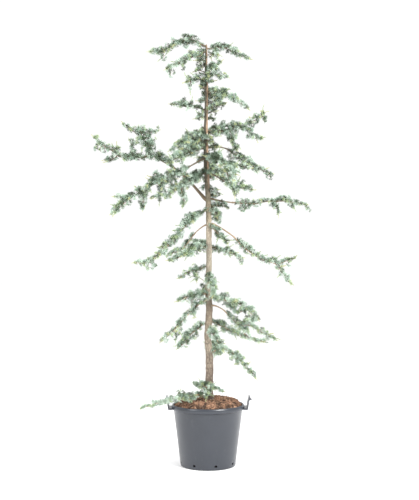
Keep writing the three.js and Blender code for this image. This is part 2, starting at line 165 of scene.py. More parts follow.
# %% [markdown]
# A finish is a material made of nodes. Wiring the nodes one by one takes a page for each finish, so
# two small classes do it. A Wire holds one output and understands plus, minus and times, and a
# Finish adds any other node from its type, its settings and what goes into its sockets.


# %% Wires and finishes
class Wire:
    """One output of a node. A sum written with it adds the node that works the sum out."""

    def __init__(self, finish, socket):
        self.finish = finish
        self.socket = socket

    def sum(self, operation, first, second):
        return self.finish.node("ShaderNodeMath", {"operation": operation}, {0: first, 1: second})

    def __add__(self, other):
        return self.sum("ADD", self, other)

    def __radd__(self, other):
        return self.sum("ADD", other, self)

    def __sub__(self, other):
        return self.sum("SUBTRACT", self, other)

    def __rsub__(self, other):
        return self.sum("SUBTRACT", other, self)

    def __mul__(self, other):
        return self.sum("MULTIPLY", self, other)

    def __rmul__(self, other):
        return self.sum("MULTIPLY", other, self)


class Finish:
    """A material in the making."""

    def __init__(self, name, roughness):
        self.material = bpy.data.materials.new(name)
        self.material.use_nodes = True
        self.tree = self.material.node_tree
        self.shader = self.tree.nodes["Principled BSDF"]
        self.set("Roughness", roughness)

    def plug(self, socket, value):
        """Puts a wire or a plain value into a socket."""
        if isinstance(value, Wire):
            self.tree.links.new(value.socket, socket)
        else:
            socket.default_value = (*value, 1) if socket.type == "RGBA" else value

    def set(self, name, value):
        """Puts a wire or a value into the shader."""
        self.plug(self.shader.inputs[name], value)

    def node(self, kind, settings, sockets, output=0):
        """Adds a node: first its settings, then its sockets."""
        made = self.tree.nodes.new(kind)
        for name, value in settings.items():
            if name != "stops":
                setattr(made, name, value)
        if "stops" in settings:
            ramp = made.color_ramp
            while len(ramp.elements) < len(settings["stops"]):
                ramp.elements.new(0.5)
            for element, (place, colour) in zip(ramp.elements, settings["stops"]):
                element.position = place
                element.color = (*colour, 1)
        for name, value in sockets.items():
            self.plug(made.inputs[name], value)
        return Wire(self, made.outputs[output])

    def place(self, stretch=(1, 1, 1)):
        """Where a point lies on the object, in metres, stretched."""
        spot = self.node("ShaderNodeTexCoord", {}, {}, "Object")
        return self.node("ShaderNodeMapping", {}, {"Vector": spot, "Scale": stretch})

    def height(self):
        """How high a point lies, in metres."""
        spot = self.node("ShaderNodeTexCoord", {}, {}, "Object")
        return self.node("ShaderNodeSeparateXYZ", {}, {"Vector": spot}, "Z")

    def cloud(self, spot, size, detail):
        """Soft noise with patches of about that size in metres."""
        sockets = {"Vector": spot, "Scale": 1 / size, "Detail": detail}
        return self.node("ShaderNodeTexNoise", {}, sockets)

    def cells(self, spot, size):
        """How far a point lies from the edge of its cell, for cracks and chips."""
        sockets = {"Vector": spot, "Scale": 1 / size}
        return self.node("ShaderNodeTexVoronoi", {"feature": "DISTANCE_TO_EDGE"}, sockets)

    def ramp(self, factor, stops):
        """A colour from a number."""
        return self.node("ShaderNodeValToRGB", {"stops": stops}, {"Fac": factor})

    def mask(self, factor, stops):
        """A number from 0 to 1 from another number, through stops of grey."""
        greys = [(place, (grey, grey, grey)) for place, grey in stops]
        return self.node("ShaderNodeRGBToBW", {}, {"Color": self.ramp(factor, greys)})

    def blend(self, factor, first, second):
        """A mix of two colours."""
        sockets = {0: factor, 6: first, 7: second}
        return self.node("ShaderNodeMix", {"data_type": "RGBA"}, sockets, 2)

    def relief(self, height, depth, strength):
        """Makes a fine relief of that depth in metres catch the light."""
        sockets = {"Strength": strength, "Distance": depth, "Height": height}
        self.set("Normal", self.node("ShaderNodeBump", {}, sockets))


def paint(red, green, blue):
    """A colour as it is mixed on screen, from 0 to 255, turned into the light it gives."""
    light = []
    for part in (red, green, blue):
        share = part / 255
        light.append(share / 12.92 if share < 0.04045 else ((share + 0.055) / 1.055) ** 2.4)
    return tuple(light)


white = Finish("studio_white", 0.9)
white.set("Base Color", paint(250, 250, 250))
floor.data.materials.append(white.material)
print("floor finish", white.material.name)

# %% [markdown]
# Round things such as a pot and a trunk can be lathed, lofted or drawn up. Here they are drawn up as
# by hand: a flat disc is extruded again and again, and each new ring is moved to its centre and
# sized to its radius. The disc that is carried along closes the end, so the body has no hole.


# %% Helpers for modelling
def pick(piece):
    """Selects one piece and makes it the active one."""
    let_go()
    piece.select_set(True)
    bpy.context.view_layer.objects.active = piece


def open_up(piece, action="SELECT"):
    """Opens one piece in edit mode with all its points selected, or with none."""
    pick(piece)
    bpy.ops.object.mode_set(mode="EDIT")
    bpy.ops.mesh.select_all(action=action)


def settle(piece):
    """Puts a piece's place, turn and size into its mesh."""
    pick(piece)
    bpy.ops.object.transform_apply(location=True, rotation=True, scale=True)


def drawn_up(name, sides, rings):
    """A closed body drawn up from a disc. A ring is its centre and its radius."""
    let_go()
    centre, radius = rings[0]
    bpy.ops.mesh.primitive_circle_add(
        vertices=sides, radius=radius, fill_type="NGON", location=centre
    )
    piece = bpy.context.object
    piece.name = name
    piece.data.name = name
    settle(piece)
    open_up(piece)
    for (before, width), (centre, radius) in zip(rings, rings[1:]):
        step = Vector(centre) - Vector(before)
        bpy.ops.mesh.extrude_region_move(TRANSFORM_OT_translate={"value": step})
        grow = radius / width
        bpy.ops.transform.resize(value=(grow, grow, 1), center_override=centre)
    let_go()
    print(name, "drawn up through", len(rings), "rings")
    return piece


def modifier(piece, kind, **settings):
    """Adds a modifier, sets it and applies it."""
    pick(piece)
    made = piece.modifiers.new(kind.lower(), kind)
    for name, value in settings.items():
        setattr(made, name, value)
    bpy.ops.object.modifier_apply(modifier=made.name)


def ruffle(piece, kind, size, depth, detail=2, **settings):
    """Pushes a piece's skin in and out by a pattern of that size and depth in metres."""
    pattern = bpy.data.textures.new(piece.name + "_relief", kind)
    pattern.noise_scale = size
    if kind == "CLOUDS":
        pattern.noise_depth = detail
    modifier(piece, "DISPLACE", texture=pattern, strength=depth, **settings)


def soften(piece, degrees=32):
    """Shades a piece smooth, apart from its sharp edges."""
    pick(piece)
    bpy.ops.object.shade_smooth_by_angle(angle=math.radians(degrees))


def hand_in(piece, slot, finish, *nodes):
    """Gives a piece its finish, ties it to the frame's root and hides the frame's nodes that it
    replaces.
    """
    piece.data.materials.clear()
    piece.data.materials.append(finish.material)
    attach(piece, "root")
    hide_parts(*nodes)
    print(piece.name, len(piece.data.polygons), "faces")


def held(share):
    """A share that never leaves 0 to 1."""
    return min(max(share, 0), 1)


# %% [markdown]
# The pot is a thin tapered bucket of moulded plastic with a rolled rim and a row of oval drain holes
# low in its wall. It is drawn up from the foot, over the rim and down the inside to its floor, which
# makes the wall one closed skin. The holes are cut with small barrels, and a bevel then takes the
# knife edge off every corner, as a mould does.

# %% Pot: sizes
POT_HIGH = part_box("pot")[1]
POT_FOOT = 0.153
POT_NECK = 0.191
POT_RIM = 0.202
POT_WALL = 0.003
POT_SIDES = 128
FOOT_ROUND = 0.008
NECK_HEIGHT = POT_HIGH.z - 0.030


def outside(height):
    """The radius of the wall's outside at a height."""
    share = (height - FOOT_ROUND) / (NECK_HEIGHT - FOOT_ROUND)
    return POT_FOOT + (POT_NECK - POT_FOOT) * share


def inside(height):
    """The radius of the wall's inside at a height."""
    return outside(height) - POT_WALL


print("pot", round(POT_HIGH.z, 3), "high,", round(POT_HIGH.x * 2, 3), "wide")

# %% Pot: the wall
LIP = ((0.0064, 0.0020), (0.0016, 0.0045), (0, 0.0085))
ROLL_WIDE = 0.0062
ROLL_LOW = NECK_HEIGHT + 0.015
ROLL_TALL = POT_HIGH.z - ROLL_LOW
FLOOR_HIGH = 0.004
FLOOR_BEND = 0.006

profile = []
for step in range(5):
    turn = math.radians(90 * step / 4)
    radius = POT_FOOT - FOOT_ROUND * (1 - math.sin(turn))
    profile.append((radius, FOOT_ROUND * (1 - math.cos(turn))))
for share in (0.2, 0.4, 0.6, 0.8, 1.0):
    height = FOOT_ROUND + (NECK_HEIGHT - FOOT_ROUND) * share
    profile.append((outside(height), height))
profile += [(POT_RIM - inward, NECK_HEIGHT + above) for inward, above in LIP]
for step in range(9):
    turn = math.radians(18 * step)
    radius = POT_RIM - ROLL_WIDE * (1 - math.cos(turn))
    profile.append((radius, ROLL_LOW + ROLL_TALL * math.sin(turn)))
profile.append((POT_RIM - ROLL_WIDE * 1.98, ROLL_LOW - 0.001))
profile.append((POT_RIM - 0.0125, NECK_HEIGHT + 0.004))
for share in (1.0, 0.7, 0.4, 0.1):
    height = FLOOR_BEND + (NECK_HEIGHT - FLOOR_BEND) * share
    profile.append((inside(height), height))
profile.append((POT_FOOT - 0.012, FLOOR_HIGH))
pot = drawn_up("nursery_pot", POT_SIDES, [((0, 0, height), radius) for radius, height in profile])

# %% Pot: drain holes
DRAIN_COUNT = 8
DRAIN_FIRST = 16
DRAIN_HEIGHT = 0.023
DRAIN_WIDE = 0.017
DRAIN_TALL = 0.013
DRAIN_DEEP = 0.03
MOULD_EDGE = 0.0006

barrels = []
for number in range(DRAIN_COUNT):
    turn = math.radians(DRAIN_FIRST + 360 / DRAIN_COUNT * number)
    middle = outside(DRAIN_HEIGHT)
    let_go()
    bpy.ops.mesh.primitive_cylinder_add(
        vertices=20,
        radius=0.5,
        depth=DRAIN_DEEP,
        location=(middle * math.cos(turn), middle * math.sin(turn), DRAIN_HEIGHT),
        rotation=(math.radians(90), 0, turn + math.radians(90)),
        scale=(DRAIN_WIDE, DRAIN_TALL, 1),
    )
    settle(bpy.context.object)
    barrels.append(bpy.context.object)
pick(barrels[0])
for barrel in barrels:
    barrel.select_set(True)
bpy.ops.object.join()
cutter = bpy.context.object
modifier(pot, "BOOLEAN", operation="DIFFERENCE", solver="EXACT", object=cutter)
bpy.data.objects.remove(cutter)
modifier(pot, "BEVEL", width=MOULD_EDGE, segments=2, limit_method="ANGLE", angle_limit=0.6)
soften(pot)
print(len(barrels), "drain holes")

# %% [markdown]
# The plastic is charcoal with a cast of blue, smooth and a little glossy, and dust clings to it in
# faint smears, most of it near the foot. One flat grey would look like a toy. Two greys mixed by a
# wide noise keep the wall alive, and one mask of dust makes the smears both paler and duller.

# %% Pot: finish
plastic = Finish("pot_plastic", 0.42)
spot = plastic.place()
patches = plastic.cloud(spot, 0.09, 4.0)
smears = plastic.cloud(plastic.place((1, 1, 0.6)), 0.03, 5.0)
grain = plastic.cloud(spot, 0.0012, 2.0)
clean = plastic.blend(patches, paint(38, 42, 49), paint(46, 50, 58))
smeared = plastic.mask(smears, [(0.62, 0), (0.84, 0.3)])
dust = smeared * plastic.mask(plastic.height(), [(0.0, 0.75), (0.09, 0.22)])
plastic.set("Base Color", plastic.blend(dust, clean, paint(150, 150, 148)))
plastic.set("Roughness", 0.27 + patches * 0.07 + dust * 0.25)
plastic.set("Coat Weight", 0.2)
plastic.set("Coat Roughness", 0.18)
plastic.relief(grain * 0.6 + patches * 0.4, 0.0004, 0.35)
hand_in(pot, "pot_plastic", plastic, "pot")

# %% [markdown]
# Two ears stand up at the sides of the rim, each with a slot for the fingers. Their shape in the
# frame is right but its edges are knife sharp. A copy is merged, its flat corners are bevelled, and
# the copy stands for the ear.

# %% Handles
EAR_EDGE = 0.0011

for side in ("left", "right"):
    node = frame["nodes"]["pot_handle_" + side]
    ear = node.copy()
    ear.data = node.data.copy()
    ear.parent = None
    ear.name = "handle_" + side
    ear.data.name = ear.name
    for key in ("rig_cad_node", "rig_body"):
        del ear[key]
    bpy.context.scene.collection.objects.link(ear)
    open_up(ear)
    bpy.ops.mesh.remove_doubles(threshold=0.00002)
    bpy.ops.mesh.dissolve_limited(angle_limit=math.radians(3))
    modifier(ear, "BEVEL", width=EAR_EDGE, segments=3, limit_method="ANGLE", angle_limit=0.6)
    soften(ear, 40)
    hand_in(ear, "pot_plastic", plastic, "pot_handle_" + side)

# %% [markdown]
# The compost fills the pot and rises in a low mound round the trunk. It is drawn up inside the wall
# as one body, and its top is made uneven by three clouds. A noise alone would look like clay, so
# some thousands of bark chips and fibres lie on it. They are many small things, so they are made
# from arrays and joined.

# %% Compost: the body
COMPOST_LOW, COMPOST_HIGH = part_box("compost")
EDGE_HEIGHT = 0.327
EDGE_FADE = 0.02
MOUND_FLAT = 0.040
MOUND_BREADTH = 6
MOUND_ROUGH = 0.004
MOUND_RINGS = 34
GAP = 0.0012
LOW_GAP = 0.006


def mound(radius):
    """The height of the compost's top at a distance from the trunk."""
    share = held((radius - MOUND_FLAT) / (inside(EDGE_HEIGHT) - MOUND_FLAT))
    rise = COMPOST_HIGH.z - MOUND_ROUGH - EDGE_HEIGHT
    return EDGE_HEIGHT + rise * (0.5 + 0.5 * math.cos(math.pi * share**MOUND_BREADTH))


rings = []
for share in (0.0, 0.33, 0.66, 1.0):
    height = COMPOST_LOW.z + (EDGE_HEIGHT - COMPOST_LOW.z) * share
    rings.append(((0, 0, height), inside(height) - LOW_GAP + (LOW_GAP - GAP) * share))
for step in range(1, MOUND_RINGS):
    radius = (inside(EDGE_HEIGHT) - GAP) * (1 - step / MOUND_RINGS)
    rings.append(((0, 0, mound(radius)), radius))
compost = drawn_up("compost_body", 96, rings)
open_up(compost, "DESELECT")
let_go()
for face in compost.data.polygons:
    face.select = face.center.z > EDGE_HEIGHT - 0.002
pick(compost)
bpy.ops.object.mode_set(mode="EDIT")
bpy.ops.mesh.subdivide(number_cuts=1)
let_go()
group = compost.vertex_groups.new(name="top")
for point in compost.data.vertices:
    radius = math.hypot(point.co.x, point.co.y)
    if point.co.z > EDGE_HEIGHT + 0.0005:
        share = min(1, (inside(EDGE_HEIGHT) - radius) / EDGE_FADE)
        group.add([point.index], share, "REPLACE")
for size, depth in ((0.040, 0.010), (0.016, 0.009), (0.006, 0.005)):
    ruffle(compost, "CLOUDS", size, depth, 3, mid_level=0.62, direction="Z", vertex_group="top")
soften(compost, 60)

# %% Compost: chips and fibres
CHIPS = {
    "compost_crumbs": (2100, (0.0048, 0.0034, 0.0022)),
    "compost_chips": (1260, (0.0075, 0.0036, 0.0016)),
    "compost_fibres": (840, (0.0105, 0.0010, 0.0008)),
}
CHIP_FACES = np.array(
    [[0, 3, 2, 1], [4, 5, 6, 7], [0, 1, 5, 4], [1, 2, 6, 5], [2, 3, 7, 6], [3, 0, 4, 7]]
)
SQUARE = ((-1, -1), (1, -1), (1, 1), (-1, 1))
CHIP_CORNERS = np.array([(*corner, end) for end in (-1, 1) for corner in SQUARE])
ABOVE_COMPOST = 0.6
chance = np.random.default_rng(11)


def unit(vectors):
    """Vectors of length one."""
    length = np.linalg.norm(vectors, axis=-1, keepdims=True)
    return vectors / np.maximum(length, 1e-9)


def skin_of(mesh):
    """A mesh as a skin that rays can hit."""
    faces = [tuple(face.vertices) for face in mesh.polygons]
    return BVHTree.FromPolygons([point.co for point in mesh.vertices], faces)


def from_arrays(name, points, faces):
    """A mesh piece from arrays of points and faces."""
    mesh = bpy.data.meshes.new(name)
    mesh.from_pydata(points.reshape(-1, 3).tolist(), [], faces.tolist())
    mesh.update()
    piece = bpy.data.objects.new(name, mesh)
    bpy.context.scene.collection.objects.link(piece)
    return piece


def chips(name, count, sizes):
    """Rough chips that lie on the mound, each a bent and tapered little block."""
    points = np.zeros((count, 8, 3))
    for number in range(count):
        turn = chance.uniform(0, 2 * math.pi)
        radius = (inside(EDGE_HEIGHT) - 0.006) * math.sqrt(chance.uniform(0.006, 1))
        start = Vector((radius * math.cos(turn), radius * math.sin(turn), ABOVE_COMPOST))
        hit, normal, _, _ = surface.ray_cast(start, Vector((0, 0, -1)))
        up = unit(np.array(normal) + chance.normal(0, 0.42, 3))
        along = unit(np.cross(up, chance.normal(0, 1, 3)))
        across = np.cross(up, along)
        size = sizes * chance.uniform(0.45, 1.35, 3)
        shape = CHIP_CORNERS * size * chance.uniform(0.55, 1.1, (8, 3))
        middle = np.array(hit) + up * size[2] * 0.5
        points[number] = middle + shape @ np.array([along, across, up])
    faces = CHIP_FACES[None] + np.arange(count)[:, None, None] * 8
    return from_arrays(name, points, faces.reshape(-1, 4))


surface = skin_of(compost.data)
loose = [chips(name, count, np.array(sizes)) for name, (count, sizes) in CHIPS.items()]
print("on the compost lie", [piece.name for piece in loose])

# %% [markdown]
# Compost is never one brown: it is damp and nearly black in patches, and its chips and fibres are the
# paler the drier they are. A single noise between two browns would look like felt. Each kind of bit
# has three browns of its own, and a second, wider noise lays the damp patches over them all.

# %% Compost: finishes
SOILS = (
    ("compost_brown", (44, 31, 24), (92, 68, 52), (146, 112, 90), 0.009),
    ("compost_umber", (56, 40, 32), (116, 84, 65), (170, 130, 104), 0.011),
    ("compost_tan", (98, 74, 56), (150, 114, 88), (190, 154, 126), 0.012),
    ("compost_straw", (118, 92, 72), (170, 138, 110), (212, 184, 156), 0.012),
)


def soil(name, dark, middle, light, patch):
    """A crumbly brown finish of three shades: damp and dark in patches, and nearly black below the
    surface as painted shade.
    """
    dark = paint(*dark)
    made = Finish(name, 0.85)
    spot = made.place()
    speck = made.cloud(spot, patch, 5.0)
    crumbs = made.cells(spot, patch * 1.5)
    dry = made.ramp(speck, [(0.32, dark), (0.5, paint(*middle)), (0.68, paint(*light))])
    damp = made.mask(made.cloud(spot, 0.040, 4.0), [(0.46, 0), (0.60, 0.8)])
    # Painted shade: below the compost's top the colour turns nearly black, for the gap along the pot
    # wall and behind the drain holes.
    painted_shade_below = made.mask(made.height(), [(EDGE_HEIGHT - 0.03, 1), (EDGE_HEIGHT, 0)])
    wet = made.blend(damp, dry, tuple(part * 0.45 for part in dark))
    made.set("Base Color", made.blend(painted_shade_below, wet, paint(20, 14, 11)))
    made.set("Roughness", 0.78 + speck * 0.2)
    made.relief(speck + crumbs * 0.8, 0.002, 0.8)
    return made


for piece, shades in zip([compost] + loose, SOILS):
    hand_in(piece, "compost", soil(*shades), "compost")

# %% [markdown]
# The trunk is one slender stem that leans and wavers and tapers to the leading shoot. Its line and
# thickness are read from the frame, by cutting the frame's trunk with level planes. It is drawn up
# through the cuts, then clouds and cells push its skin in and out. The lower the bark, the deeper
# its relief, because old bark cracks and young bark is smooth.

# %% Reading the frame: sections
TRUNK_LOW, TRUNK_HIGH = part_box("trunk")
TRUNK_STEP = 0.014
UP = np.array([0, 0, 1.0])


def corners_of(node):
    """The corners of a node's mesh."""
    return np.array([tuple(point.co) for point in frame["nodes"][node].data.vertices])


def edges_of(node):
    """Both ends of every edge of a node's mesh."""
    faces = frame["nodes"][node].data.polygons
    pairs = np.array(sorted({tuple(sorted(key)) for face in faces for key in face.edge_keys}))
    corners = corners_of(node)
    return corners[pairs[:, 0]], corners[pairs[:, 1]]


def section(edges, point, direction):
    """The middle and the radius of a cut through a node, or None where it misses."""
    first, second = edges
    before = (first - point) @ direction
    after = (second - point) @ direction
    crossed = before * after < 0
    if crossed.sum() < 3:
        return None
    share = (before[crossed] / (before[crossed] - after[crossed]))[:, None]
    hits = first[crossed] + (second[crossed] - first[crossed]) * share
    middle = (hits.min(0) + hits.max(0)) / 2
    return middle, float(np.linalg.norm(hits - middle, axis=1).mean())


def between(place, along, rows):
    """The row of values at a place, or at each of many places, along a line."""
    return np.stack([np.interp(place, along, column) for column in rows.T], -1)


trunk_edges = edges_of("trunk")
trunk_line = []
height = TRUNK_LOW.z + 0.002
while height < TRUNK_HIGH.z - 0.002:
    cut = section(trunk_edges, UP * height, UP)
    if cut is not None:
        trunk_line.append(cut)
    height += TRUNK_STEP
trunk_middles = np.array([middle for middle, _ in trunk_line])
trunk_radii = np.array([radius for _, radius in trunk_line])
tip, tip_radius = trunk_line[-1]


def trunk_at(height):
    """The trunk's middle and radius at a height."""
    heights = trunk_middles[:, 2]
    return between(height, heights, trunk_middles), float(np.interp(height, heights, trunk_radii))


print("trunk", len(trunk_line), "cuts, radius at the tip", round(tip_radius, 4))

# %% Trunk: the body
TRUNK_SIDES = 18
YOUNG_BARK = 0.0022
FOOT_BURIED = 0.020
BARK_RELIEF = (
    ("CLOUDS", 0.050, 0.0060, "any_bark"),
    ("CLOUDS", 0.012, 0.0030, "any_bark"),
    ("VORONOI", 0.010, 0.0036, "old_bark"),
)

foot, foot_radius = trunk_line[0]
rings = [((foot[0], foot[1], TRUNK_LOW.z - FOOT_BURIED), foot_radius * 1.04)]
for middle, radius in trunk_line:
    rings.append((tuple(middle), radius + YOUNG_BARK * held((middle[2] - 1.2) / 0.5)))
rings.append(((tip[0], tip[1], TRUNK_HIGH.z - 0.001), tip_radius * 0.6))
trunk = drawn_up("trunk_bark", TRUNK_SIDES, rings)
modifier(trunk, "SUBSURF", levels=2, render_levels=2)
old = trunk.vertex_groups.new(name="old_bark")
every = trunk.vertex_groups.new(name="any_bark")
for point in trunk.data.vertices:
    old.add([point.index], held((1.25 - point.co.z) / 0.9) ** 1.5, "REPLACE")
    every.add([point.index], 0.30 + 0.70 * held((2.3 - point.co.z) / 2.0), "REPLACE")
for kind, size, depth, where in BARK_RELIEF:
    ruffle(trunk, kind, size, depth, vertex_group=where)
soften(trunk, 80)

# %% [markdown]
# Bark changes with its age: grey-brown and cracked at the foot, pale and flecked half-way up, dark
# and smooth on the leading shoot. The top's dark is partly that young bark and partly painted shade
# under the crown. The top's right-facing side is painted orange-tan, partly the young bark's own tan
# and partly painted light from the right-hand lamp. Painting it by hand would need a picture of it.
# Here a ramp reads the height and gives the colour, and masks lay cracks, dark flecks, pale flecks
# and the painted light over it.

# %% Trunk: finish
BARK_SPAN = 0.4
BARK_BY_HEIGHT = (
    (0.15, 116, 102, 90),
    (0.22, 130, 116, 103),
    (0.26, 158, 147, 130),
    (0.31, 148, 135, 117),
    (0.36, 124, 112, 97),
    (0.42, 142, 134, 116),
    (0.47, 156, 148, 133),
    (0.51, 202, 189, 170),
    (0.55, 162, 150, 128),
    # From here up the ramp darkens: partly the leading shoot's own dark bark, partly painted shade
    # under the crown.
    (0.60, 108, 102, 84),
    (0.66, 66, 62, 50),
    (0.92, 56, 55, 44),
)

bark = Finish("bark_trunk", 0.8)
spot = bark.place()
height = bark.height()
patches = bark.cloud(spot, 0.035, 5.0)
flecks = bark.cloud(bark.place((1, 1, 2.6)), 0.006, 4.0)
cracks = bark.cells(bark.place((1, 1, 0.45)), 0.011)
stops = [(place, paint(*colour)) for place, *colour in BARK_BY_HEIGHT]
by_height = bark.ramp(height * BARK_SPAN + patches * 0.10 - 0.05, stops)
dark = bark.mask(flecks, [(0.38, 1), (0.56, 0)])
pale = bark.mask(bark.cloud(spot, 0.010, 4.0), [(0.55, 0), (0.66, 1)])
groove = bark.mask(cracks, [(0.0, 1), (0.10, 0)])
lowness = bark.mask(height, [(0.75, 1), (1.0, 0.25)])
# Painted light: on the upper trunk the side facing right, towards the stronger lamp, is painted
# orange-tan, partly the young bark's own tan.
top = bark.mask(height * BARK_SPAN, [(0.60, 0), (0.66, 1)])
normal = bark.node("ShaderNodeTexCoord", {}, {}, "Normal")
facing = bark.node("ShaderNodeSeparateXYZ", {}, {"Vector": normal}, "X")
tan_and_painted_light = bark.mask(facing * 0.5 + patches * 0.5 + 0.25, [(0.58, 0), (0.70, 1)])
with_tan_and_painted_light = bark.blend(tan_and_painted_light * top, by_height, paint(158, 130, 104))
flecked = bark.blend(pale * lowness * 0.6, with_tan_and_painted_light, paint(206, 192, 174))
shaded = bark.blend(dark * 0.55, flecked, paint(88, 74, 62))
bark.set("Base Color", bark.blend(groove * lowness * 0.7, shaded, paint(62, 52, 44)))
bark.set("Roughness", 0.72 + patches * 0.2)
bark.relief(flecks * 0.5 - groove * lowness, 0.0016, 0.8)
hand_in(trunk, "bark", bark, "trunk")

# %% [markdown]
# Before anything grows, the script has to know where each branch runs. Each foliage mass in the frame
# is a closed body round its branches. It is filled with small cubes, and the walk from the trunk to
# each cube is measured. Cubes at the same distance that touch are one slice of a branch, so the
# middles of the slices, joined up, are the branches themselves. A list of branches could be typed
# in, but it would be wrong as soon as the frame changed.

# %% Reading the frame: what is inside a mass
CELL = 0.008
BAND = 0.015
OFF_GRID = (0.00013, 0.00017)
PAST_SKIN = 0.00005
MOST_CROSSINGS = 40
DOWN = Vector((0, 0, -1))
STEPS = [step for step in itertools.product((-1, 0, 1), repeat=3) if any(step)]
STEP_SIZES = [math.sqrt(sum(part * part for part in step)) for step in STEPS]


def cubes_inside(node):
    """The grid places of the cubes that lie inside a closed node."""
    skin = skin_of(frame["nodes"][node].data)
    lowest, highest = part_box(node)
    rows = range(math.floor(lowest.x / CELL), math.ceil(highest.x / CELL) + 1)
    columns = range(math.floor(lowest.y / CELL), math.ceil(highest.y / CELL) + 1)
    found = set()
    for i, j in itertools.product(rows, columns):
        start = Vector((i * CELL + OFF_GRID[0], j * CELL + OFF_GRID[1], highest.z + CELL))
        crossings = []
        hit = skin.ray_cast(start, DOWN)[0]
        while hit is not None and len(crossings) < MOST_CROSSINGS:
            crossings.append(hit.z)
            hit = skin.ray_cast(hit + DOWN * PAST_SKIN, DOWN)[0]
        for top, bottom in zip(crossings[::2], crossings[1::2]):
            for k in range(math.ceil(bottom / CELL), math.floor(top / CELL) + 1):
                found.add((i, j, k))
    return found


def around_cube(cube):
    """The 26 places round a cube."""
    return [(cube[0] + i, cube[1] + j, cube[2] + k) for i, j, k in STEPS]


def walk(cubes, start):
    """How far each cube lies from the start, stepping from cube to cube."""
    reach = {start: 0.0}
    queue = [(0.0, start)]
    while queue:
        far, cube = heapq.heappop(queue)
        if far > reach[cube]:
            continue
        for beside, size in zip(around_cube(cube), STEP_SIZES):
            further = far + size * CELL
            if beside in cubes and further < reach.get(beside, math.inf):
                reach[beside] = further
                heapq.heappush(queue, (further, beside))
    return reach


def slices(reach):
    """Groups of touching cubes at the same distance, each with the group it grows from."""
    band = {cube: int(far / BAND) for cube, far in reach.items()}
    owner, found = {}, []
    for first in sorted(reach, key=lambda cube: (band[cube], cube)):
        if first in owner:
            continue
        number = len(found)
        owner[first] = number
        waiting, members, below = [first], [], {}
        while waiting:
            cube = waiting.pop()
            members.append(cube)
            for beside in around_cube(cube):
                if beside not in band:
                    continue
                if band[beside] == band[first] and beside not in owner:
                    owner[beside] = number
                    waiting.append(beside)
                if band[beside] == band[first] - 1:
                    below[owner[beside]] = below.get(owner[beside], 0) + 1
        parent = max(below, key=below.get) if below else None
        found.append({"cubes": np.array(members) * CELL, "parent": parent, "next": []})
        if parent is not None:
            found[parent]["next"].append(number)
    return found


print("cubes of", CELL, "metres in slices of", BAND)

# %% Reading the frame: lines
SHORTEST_ARM = 3
LINE_STEP = 0.008


def depth_of(found, number):
    """How many slices follow a slice, along the longest arm."""
    depth = 0
    rows = [number]
    while rows:
        rows = [child for row in rows for child in found[row]["next"]]
        depth += 1
    return depth


def arms_from(found, number, start):
    """Splits the slices into branches: the longest way on is the branch, the others are its arms."""
    line, arms = [], []
    while number is not None:
        line.append(number)
        onward = sorted(found[number]["next"], key=lambda child: -depth_of(found, child))
        here = number
        number = onward[0] if onward else None
        for child in onward[1:]:
            if depth_of(found, child) >= SHORTEST_ARM:
                arms += arms_from(found, child, here)
    return [(start, line)] + arms


def smoothed(points, times):
    """Points with their kinks taken out. The ends stay."""
    for _ in range(times):
        inner = (points[:-2] + 2 * points[1:-1] + points[2:]) / 4
        points = np.vstack([points[:1], inner, points[-1:]])
    return points


def distances(points):
    """How far along a line each of its points lies."""
    gaps = np.linalg.norm(np.diff(points, axis=0), axis=1)
    return np.concatenate([[0], np.cumsum(gaps)])


def resampled(points, values, spacing):
    """A smooth line through points, at even steps, with its values."""
    along = distances(points)
    places = np.linspace(0, along[-1], max(3, int(along[-1] / spacing) + 1))
    return smoothed(between(places, along, points), 3), between(places, along, values)


def frame_along(points):
    """The direction, the side and the upper side of a line at each point."""
    ahead = unit(np.gradient(points, axis=0))
    side = np.cross(UP, ahead)
    side[np.linalg.norm(side, axis=1) < 0.05] = np.array([1.0, 0, 0])
    side = unit(side)
    return ahead, side, unit(np.cross(ahead, side))


print("lines have a point every", LINE_STEP, "metres")

# %% Reading the frame: branches
LOWERED = 0.32
LOWERED_OVER = 0.07
TIP_NEAR = 0.075
WIDTH_SHARE = 88
LIMB_CUTS = 14


def branches_of(node, root):
    """The branches inside a mass, each a line with its half width and half height."""
    cubes = cubes_inside(node)
    middles = {cube: np.array(cube) * CELL for cube in cubes}
    start = min(sorted(cubes), key=lambda cube: np.linalg.norm(middles[cube] - root))
    found = slices(walk(cubes, start))
    corners = corners_of(node)
    grown = []
    for source, line in arms_from(found, 0, None):
        centres = np.array([found[n]["cubes"].mean(0) for n in line])
        if len(centres) < 2:
            continue
        first = root if source is None else found[source]["cubes"].mean(0)
        ahead = unit(centres[-1] - centres[-2])
        beyond = (corners - centres[-1]) @ ahead
        near = np.linalg.norm(corners - centres[-1], axis=1) < TIP_NEAR
        points = np.vstack([[first], centres])
        sizes = []
        _, side, up = frame_along(points)
        for place, number in enumerate(line):
            offsets = found[number]["cubes"] - centres[place]
            wide = np.percentile(np.abs(offsets @ side[place + 1]), WIDTH_SHARE) + CELL / 2
            tall = np.percentile(np.abs(offsets @ up[place + 1]), WIDTH_SHARE) + CELL / 2
            sizes.append([wide, tall])
        sizes.insert(0, sizes[0])
        if (near & (beyond > 0.004)).any():
            furthest = corners[near][np.argmax(beyond[near])]
            straight_on = points[-1] + ahead * beyond[near].max()
            points = np.vstack([points, furthest * 0.8 + straight_on * 0.2])
            sizes.append([sizes[-1][0] * 0.5, sizes[-1][1] * 0.5])
        points, sizes = resampled(smoothed(points, 2), np.array(sizes), LINE_STEP)
        _, _, up = frame_along(points)
        sink = np.clip(np.arange(len(points)) * LINE_STEP / LOWERED_OVER, 0, 1) * LOWERED
        points = points - up * (sizes[:, 1] * sink)[:, None]
        grown.append({"points": points, "sizes": sizes, "main": source is None, "mass": node})
    return grown


